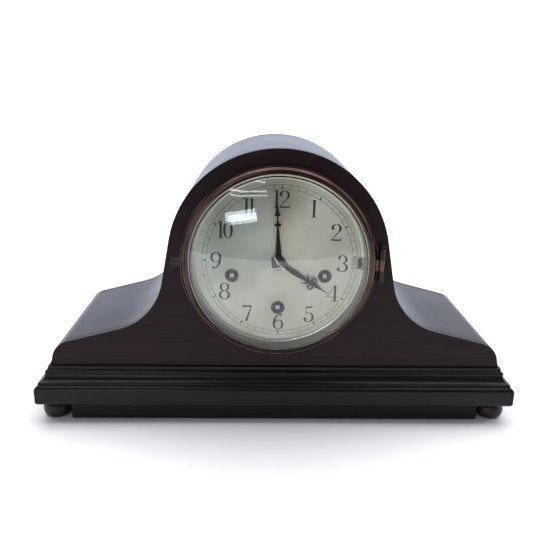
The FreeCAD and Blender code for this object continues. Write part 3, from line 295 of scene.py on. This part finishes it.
def silvered(name, pale, warm, roughness, anisotropy):
    """Circular-grained silvering: the tangent runs round Y, slow noise warms parts of the plate, and a
    ramp by the hour paints reflection and shade into the colour.
    """
    material, tree, shader = start(name)
    place = add(tree, "ShaderNodeTexCoord")
    centred = add(tree, "ShaderNodeMapping", {"Vector": place.outputs["Object"]},
                  Location=(-DIAL_CENTRE.x, 0.0, -DIAL_CENTRE.z))
    cloud = add(tree, "ShaderNodeTexNoise", {"Vector": centred.outputs[0]}, Scale=30.0, Detail=5.0)
    tone = ramp(tree, cloud.outputs["Fac"], [(0.35, pale), (0.75, warm)])
    radius = add(tree, "ShaderNodeVectorMath", {0: centred.outputs[0]}, operation="MULTIPLY")
    radius.inputs[1].default_value = (1.0, 0.0, 1.0)
    reach = add(tree, "ShaderNodeVectorMath", {0: radius.outputs[0]}, operation="LENGTH")
    rings = add(tree, "ShaderNodeTexNoise", {"W": reach.outputs["Value"]}, noise_dimensions="1D",
                Scale=1 / (0.9 * MM), Detail=3.0)
    relief = add(tree, "ShaderNodeBump", {"Height": rings.outputs["Fac"]}, Strength=0.1,
                 Distance=0.12 * MM)
    spin = add(tree, "ShaderNodeTangent", direction_type="RADIAL", axis="Y")
    tree.links.new(spin.outputs[0], shader.inputs["Tangent"])
    wheel = add(tree, "ShaderNodeSeparateXYZ", {"Vector": centred.outputs[0]})
    angle = add(tree, "ShaderNodeMath", {0: wheel.outputs["X"], 1: wheel.outputs["Z"]},
                operation="ARCTAN2")
    around = add(tree, "ShaderNodeMapRange", {"Value": angle.outputs[0]}, From_Min=-math.pi,
                 From_Max=math.pi)
    # Painted reflection and shade: this ramp lightens and darkens sectors of the dial's colour, hour by
    # hour round it.
    painted_reflection_ramp = ramp(tree, around.outputs[0], [((hour + 6) / 12, shade) for hour, shade in PAINTED_REFLECTION_BY_HOUR])
    wear_and_painted_reflection = add(tree, "ShaderNodeMix", {"A": tone, "B": painted_reflection_ramp}, data_type="RGBA",
               blend_type="MULTIPLY", Factor=1.0)
    tree.links.new(wear_and_painted_reflection.outputs["Result"], shader.inputs["Base Color"])
    tree.links.new(relief.outputs[0], shader.inputs["Normal"])
    tune(shader, Metallic=1.0, Roughness=roughness, Anisotropic=anisotropy)
    return material


dial_silver = silvered("silvered_dial", "#d3d3ca", "#b4b1a2", 0.34, 0.7)
rim_silver = silvered("silvered_sight_ring", "#cfccc0", "#c0b9a8", 0.34, 0.4)
dress(dial_silver, "dial_plate")
dress(rim_silver, "dial_rim")

# %% [markdown]
# ## The glass
# The glass is a shallow dome about 2 mm thick. A clear refracting shader alone would hide the dial from
# the lamps, so light that is not seen directly passes straight through a transparent shader instead.

# %% Domed glass
def clear_glass(name):
    """Glass for the eye, and a pale transparent film for shadow rays."""
    material, tree, shader = start(name)
    tune(shader, Base_Color=linear("#fbfcfa"), Roughness=0.01, IOR=1.5, Transmission_Weight=1.0)
    film = add(tree, "ShaderNodeBsdfTransparent", Color=linear("#f2f6f4"))
    ray = add(tree, "ShaderNodeLightPath")
    mix = add(tree, "ShaderNodeMixShader", {0: ray.outputs["Is Shadow Ray"], 1: shader.outputs[0],
                                            2: film.outputs[0]})
    tree.links.new(mix.outputs[0], tree.nodes["Material Output"].inputs["Surface"])
    return material


dress(clear_glass("domed_clock_glass"), "glass")

# %% [markdown]
# ## Printing the dial
# The numerals are old-style book numerals: upright, with heavy sides, hairline tops and round ball ends.
# Each numeral is a few pen strokes. A stroke is a ribbon: a centre line, and a half width that swells
# where the pen runs up or down. All strokes become one thin film of ink on the plate.

# %% Ink as ribbons
INK_LIFT = 0.06 * MM


def piece_of(name, points, faces, material):
    """A mesh object made of points and faces, with one material, linked to the scene."""
    mesh = bpy.data.meshes.new(name)
    mesh.from_pydata(points.tolist(), [], faces.tolist())
    mesh.materials.append(material)
    piece = bpy.data.objects.new(name, mesh)
    bpy.context.scene.collection.objects.link(piece)
    return piece


class Ink:
    """Collects flat strokes in dial coordinates, across and up from the centre, in millimetres."""

    def __init__(self):
        self.points, self.faces, self.count = [], [], 0

    def ribbon(self, x, z, half):
        """A strip along the line (x, z): each point gets a left and a right edge, half a width away."""
        line = np.stack([x, z], 1)
        along = np.gradient(line, axis=0)
        along /= np.linalg.norm(along, axis=1, keepdims=True) + 1e-12
        side = np.stack([-along[:, 1], along[:, 0]], 1) * np.broadcast_to(half, x.shape)[:, None]
        pair = np.stack([line + side, line - side], 1).reshape(-1, 2)
        first = self.count + 2 * np.arange(len(x) - 1)
        self.points.append(pair)
        self.faces.append(np.stack([first, first + 1, first + 3, first + 2], 1))
        self.count += len(pair)

    def line(self, first, last, half, half_end=None):
        """A straight stroke in six parts: its half width runs from half to half_end, if that is given."""
        step = np.linspace(0, 1, 7)
        self.ribbon(first[0] + (last[0] - first[0]) * step, first[1] + (last[1] - first[1]) * step,
                    half + ((half_end or half) - half) * step)

    def bow(self, centre, reach, angles, thin, thick, steps=40):
        """Part of an ellipse whose stroke swells where it runs upright: thin + swell * |cos| ** 1.6."""
        turn = np.radians(np.linspace(angles[0], angles[1], steps))
        swell = np.abs(np.cos(turn)) ** 1.6
        self.ribbon(centre[0] + reach[0] * np.cos(turn), centre[1] + reach[1] * np.sin(turn),
                    thin + (thick - thin) * swell)

    def ball(self, centre, radius):
        """A filled disc: a closed ribbon half as wide as it is far from its centre."""
        self.bow(centre, (radius / 2, radius / 2), (0, 360), radius / 2, radius / 2, 25)

    def film(self, name, material, shift=(0.0, 0.0), turn=0.0):
        """The strokes as one mesh, a hair in front of the plate, turned clockwise and then shifted."""
        c, s = math.cos(math.radians(turn)), math.sin(math.radians(turn))
        flat = (np.concatenate(self.points) @ np.array([[c, -s], [s, c]]) + shift) * MM
        points = np.empty((len(flat), 3))
        points[:, 0] = DIAL_CENTRE.x + flat[:, 0]
        points[:, 1] = DIAL_CENTRE.y - INK_LIFT
        points[:, 2] = DIAL_CENTRE.z + flat[:, 1]
        piece = piece_of(name, points, np.concatenate(self.faces), material)
        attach(piece, "case")
        return piece


def black_wax(name):
    """Black wax filled into engraving: dark, slightly glossy, a little uneven."""
    material, tree, shader = start(name)
    place = add(tree, "ShaderNodeTexCoord")
    blotch = add(tree, "ShaderNodeTexNoise", {"Vector": place.outputs["Object"]}, Scale=900.0,
                 Detail=2.0)
    tone = ramp(tree, blotch.outputs["Fac"], [(0.0, "#060709"), (1.0, "#14161a")])
    tree.links.new(tone, shader.inputs["Base Color"])
    tune(shader, Roughness=0.5)
    return material


ink_wax = black_wax("black_dial_wax")

# %% [markdown]
# ## Numerals
# A numeral is drawn in a box one unit high. The pen has a thick half width for the sides and a hairline
# for the tops. Every figure has its own stretch, which widens it, and its own advance, which is the room
# that it takes in a row.

# %% The ten figures
THICK, HAIR, BALL = 0.07, 0.018, 0.066


class Pen:
    """Draws in a figure's unit box, which lies on the dial at (x, z), scaled by size and widened."""

    def __init__(self, ink, x, z, size, widen):
        self.ink, self.x, self.z, self.size, self.widen = ink, x, z, size, widen

    def spot(self, point):
        return (self.x + point[0] * self.size * self.widen, self.z + point[1] * self.size)

    def line(self, first, last, half, half_end=None):
        self.ink.line(self.spot(first), self.spot(last), half * self.size,
                      (half_end or half) * self.size)

    def bow(self, centre, reach, angles):
        self.ink.bow(self.spot(centre), (reach[0] * self.size * self.widen, reach[1] * self.size),
                     angles, HAIR * self.size, THICK * self.size)

    def ball(self, centre):
        self.ink.ball(self.spot(centre), BALL * self.size)


def zero(pen):
    pen.bow((0.29, 0.5), (0.2, 0.48), (0, 360))


def one(pen):
    pen.line((0.28, 0.0), (0.28, 1.0), THICK)
    pen.line((0.1, 0.9), (0.26, 0.985), HAIR)
    pen.line((0.1, 0.015), (0.46, 0.015), HAIR)


def two(pen):
    pen.bow((0.27, 0.73), (0.19, 0.25), (185, -35))
    pen.line((0.425, 0.586), (0.07, 0.08), 0.034, HAIR)
    pen.line((0.06, 0.06), (0.5, 0.06), 0.046)
    pen.line((0.5, 0.04), (0.53, 0.24), HAIR)
    pen.ball((0.13, 0.72))


def three(pen):
    pen.bow((0.25, 0.75), (0.18, 0.23), (165, -90))
    pen.bow((0.25, 0.265), (0.22, 0.245), (90, -165))
    pen.ball((0.12, 0.77))
    pen.ball((0.1, 0.22))


def four(pen):
    pen.line((0.38, 0.0), (0.38, 1.0), THICK)
    pen.line((0.36, 0.985), (0.02, 0.29), HAIR)
    pen.line((0.02, 0.28), (0.56, 0.28), HAIR)
    pen.line((0.22, 0.015), (0.54, 0.015), HAIR)


def five(pen):
    pen.line((0.12, 0.94), (0.47, 0.95), 0.05, 0.04)
    pen.line((0.12, 0.95), (0.11, 0.53), HAIR)
    pen.bow((0.26, 0.305), (0.22, 0.29), (132, -165))
    pen.ball((0.1, 0.24))


def six(pen):
    pen.bow((0.3, 0.3), (0.2, 0.285), (0, 360))
    pen.bow((0.46, 0.38), (0.36, 0.6), (182, 98))
    pen.ball((0.42, 0.9))


def seven(pen):
    pen.line((0.06, 0.93), (0.5, 0.93), 0.055)
    pen.line((0.05, 0.98), (0.07, 0.76), HAIR)
    pen.line((0.5, 0.95), (0.24, 0.0), HAIR, THICK * 1.1)


def eight(pen):
    pen.bow((0.28, 0.75), (0.17, 0.235), (0, 360))
    pen.bow((0.28, 0.265), (0.21, 0.25), (0, 360))


def nine(pen):
    pen.bow((0.26, 0.7), (0.2, 0.285), (0, 360))
    pen.bow((0.1, 0.62), (0.36, 0.6), (2, -82))
    pen.ball((0.14, 0.1))


FIGURES = [zero, one, two, three, four, five, six, seven, eight, nine]
STRETCH = [1.05, 1.0, 1.22, 1.25, 1.3, 1.15, 1.25, 1.15, 1.25, 1.25]
ADVANCE = [0.5, 0.3] + [0.6] * 8
CENTRE = 0.28

# %% [markdown]
# ## The hour ring and the minute track
# Hours stand upright on a circle of 53.5 mm radius. The minutes are ticks between two hairline circles,
# and every fifth tick is heavier and a little shorter. A tick is a short ribbon that points at the
# centre. The black rings lie round the winding squares, wherever the frame has them.

# %% Print the dial
NUMERAL_RADIUS, NUMERAL_SIZE = 53.5, 14.6
TRACK_INNER, TRACK_OUTER = 62.0, 65.6
TRACK_LINE, HEAVY_TICK, TICK_GAP = 0.15, 0.55, 1.2
EYE_RADIUS, EYE_LINE = 5.6, 0.35
PRINT_SHIFT, PRINT_TURN = (1.0, 0.2), 0.8
numerals = Ink()
for hour in range(1, 13):
    angle = math.radians(90 - 30 * hour)
    figures = [int(figure) for figure in str(hour)]
    at = NUMERAL_RADIUS * math.cos(angle) - sum(ADVANCE[f] for f in figures) * NUMERAL_SIZE / 2
    low = NUMERAL_RADIUS * math.sin(angle) - NUMERAL_SIZE / 2
    for figure in figures:
        middle = at + (ADVANCE[figure] / 2 - CENTRE * STRETCH[figure]) * NUMERAL_SIZE
        FIGURES[figure](Pen(numerals, middle, low, NUMERAL_SIZE, STRETCH[figure]))
        at += ADVANCE[figure] * NUMERAL_SIZE
numerals.film("dial_numerals", ink_wax, PRINT_SHIFT, PRINT_TURN)

track = Ink()
for radius in (TRACK_INNER, TRACK_OUTER):
    track.bow((0, 0), (radius, radius), (0, 360), TRACK_LINE, TRACK_LINE, 241)
for minute in range(60):
    angle = math.radians(6 * minute)
    reach = np.array([TRACK_INNER, TRACK_OUTER if minute % 5 else TRACK_OUTER - TICK_GAP])
    half = TRACK_LINE if minute % 5 else HEAVY_TICK
    track.ribbon(reach * math.sin(angle), reach * math.cos(angle), half)
track.film("minute_track", ink_wax, PRINT_SHIFT, PRINT_TURN)

eyes = Ink()
for train in ("strike", "chime", "time"):
    square_low, square_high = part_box(train + "_winding_arbor")
    across, _, up = ((square_low + square_high) / 2 - DIAL_CENTRE) / MM
    eyes.bow((across, up), (EYE_RADIUS, EYE_RADIUS), (0, 360), EYE_LINE, EYE_LINE, 41)
eyes.film("winding_eyes", ink_wax)
print("ink strokes:", sum(len(ink.points) for ink in (numerals, track, eyes)))

# %% [markdown]
# ## Studio
# A pale floor runs up into a pale wall, so the clock stands on plain paper. A large soft light hangs
# overhead, and another washes the wall. On the glass, a window-like panel at the upper left draws the
# bright patch and three thin tubes draw the lines round it. Weak lights at both sides fill the rest.

# %% Paper floor
def sweep(name, material):
    """Floor, quarter-round and wall: a profile in Y and Z carried along X as one grid, in metres."""
    front, back, bend, top, wide = -0.8, 1.6, 0.9, 4.0, 4.0
    turn = np.linspace(0, math.pi / 2, 24)
    y = np.concatenate([[front, 0.0], back + bend * np.sin(turn), [back + bend]])
    z = np.concatenate([[0.0, 0.0], bend - bend * np.cos(turn), [top]])
    x = np.linspace(-wide, wide, 9)
    grid_x, grid_y = np.meshgrid(x, y, indexing="ij")
    grid_z = np.broadcast_to(z, grid_x.shape)
    points = np.stack([grid_x, grid_y, grid_z], -1).reshape(-1, 3)
    rows, columns = grid_x.shape
    corner = (np.arange(rows - 1)[:, None] * columns + np.arange(columns - 1)).reshape(-1)
    faces = np.stack([corner, corner + columns, corner + columns + 1, corner + 1], 1)
    piece = piece_of(name, points, faces, material)
    piece.data.polygons.foreach_set("use_smooth", [True] * len(faces))
    return piece


paper, paper_tree, paper_shader = start("white_paper_sweep")
paper_place = add(paper_tree, "ShaderNodeTexCoord")
fibre = add(paper_tree, "ShaderNodeTexNoise", {"Vector": paper_place.outputs["Object"]}, Scale=40.0,
            Detail=4.0)
fibre_tone = ramp(paper_tree, fibre.outputs["Fac"], [(0.0, "#f4f4f4"), (1.0, "#fafafa")])
paper_tree.links.new(fibre_tone, paper_shader.inputs["Base Color"])
tune(paper_shader, Roughness=0.9)
sweep("paper_sweep", paper)


# %% Lights
def lamp(name, at, aim, width, height, watts, colour="#ffffff", roll=0.0):
    """A soft rectangular light at a place, turned to face its aim and rolled about that line."""
    light = bpy.data.lights.new(name, "AREA")
    light.shape = "RECTANGLE"
    light.size, light.size_y = width, height
    light.energy = watts
    light.color = linear(colour)[:3]
    holder = bpy.data.objects.new(name, light)
    holder.location = at
    facing = (Vector(aim) - Vector(at)).to_track_quat("-Z", "Y")
    holder.rotation_euler = (facing @ Quaternion((0.0, 0.0, 1.0), math.radians(roll))).to_euler()
    bpy.context.scene.collection.objects.link(holder)
    return holder


GLASS = (0.0, 0.0, 0.17)
lamp("overhead_softbox", (0.0, 0.45, 1.7), (0.0, 0.1, 0.1), 2.6, 1.8, 40.0)
lamp("window_panel", (-0.385, -1.24, 0.374), GLASS, 0.34, 0.11, 1.35, "#e4f0ff", 12.0)
lamp("ceiling_tube", (-0.34, -1.3, 0.67), GLASS, 0.46, 0.016, 0.3, "#f4f8ff", 5.0)
lamp("far_tube", (-0.28, -1.3, 0.84), GLASS, 0.27, 0.012, 0.12, "#f4f8ff")
lamp("side_tube", (-0.74, -1.3, 0.64), GLASS, 0.2, 0.012, 0.1, "#f4f8ff", 22.0)
lamp("left_window", (-0.95, -0.85, 0.35), GLASS, 0.35, 0.7, 1.5, "#f0f6ff")
lamp("right_window", (0.8, -0.9, 0.55), GLASS, 0.3, 0.3, 0.5, "#f0f6ff")
lamp("wall_wash", (0.0, 0.9, 1.6), (0.0, 2.4, 0.7), 3.0, 0.8, 58.0, "#d8e5ff")
lamp("right_fill", (1.5, 0.1, 0.9), (0.0, 0.0, 0.12), 0.9, 0.9, 6.0, "#f2f6ff")

# %% [markdown]
# The room in front of the clock is dark and the room behind it is bright. Polished wood shows this well:
# its upright faces mirror the dark side and stay nearly black, while its tops mirror the bright wall.

# %% Room glow
world = bpy.data.worlds.new("studio_glow")
bpy.context.scene.world = world
world.use_nodes = True
room = world.node_tree
sky = add(room, "ShaderNodeTexCoord")
split = add(room, "ShaderNodeSeparateXYZ", {"Vector": sky.outputs["Generated"]})
glow = add(room, "ShaderNodeMapRange", {"Value": split.outputs["Y"]}, interpolation_type="SMOOTHSTEP",
           From_Min=-0.5, From_Max=0.3, To_Min=0.19, To_Max=1.0)
room.links.new(glow.outputs[0], room.nodes["Background"].inputs["Strength"])
room.nodes["Background"].inputs["Color"].default_value = linear("#f2f4fa")

# %% [markdown]
# ## Camera
# The clock is seen from a little above, turned slightly so that the left end comes forward. The camera
# is described by where it is, where it looks and which way its right hand points.

# %% Camera
bpy.context.scene.view_settings.view_transform = "Standard"
eye = Vector((-0.01848, PANEL_FACE - 0.51193, 0.29267))
ahead = Vector((0.02899, 0.95516, -0.29468)).normalized()
right = Vector((0.99953, -0.02476, 0.01809)).normalized()
up = right.cross(ahead).normalized()
right = ahead.cross(up)
lens = bpy.data.cameras.new("studio_camera")
lens.sensor_width = 36.0
lens.lens = 41.55
camera = bpy.data.objects.new("studio_camera", lens)
camera.matrix_world = Matrix((
    (right.x, up.x, -ahead.x, eye.x),
    (right.y, up.y, -ahead.y, eye.y),
    (right.z, up.z, -ahead.z, eye.z),
    (0, 0, 0, 1),
))
bpy.context.scene.collection.objects.link(camera)
bpy.context.scene.camera = camera
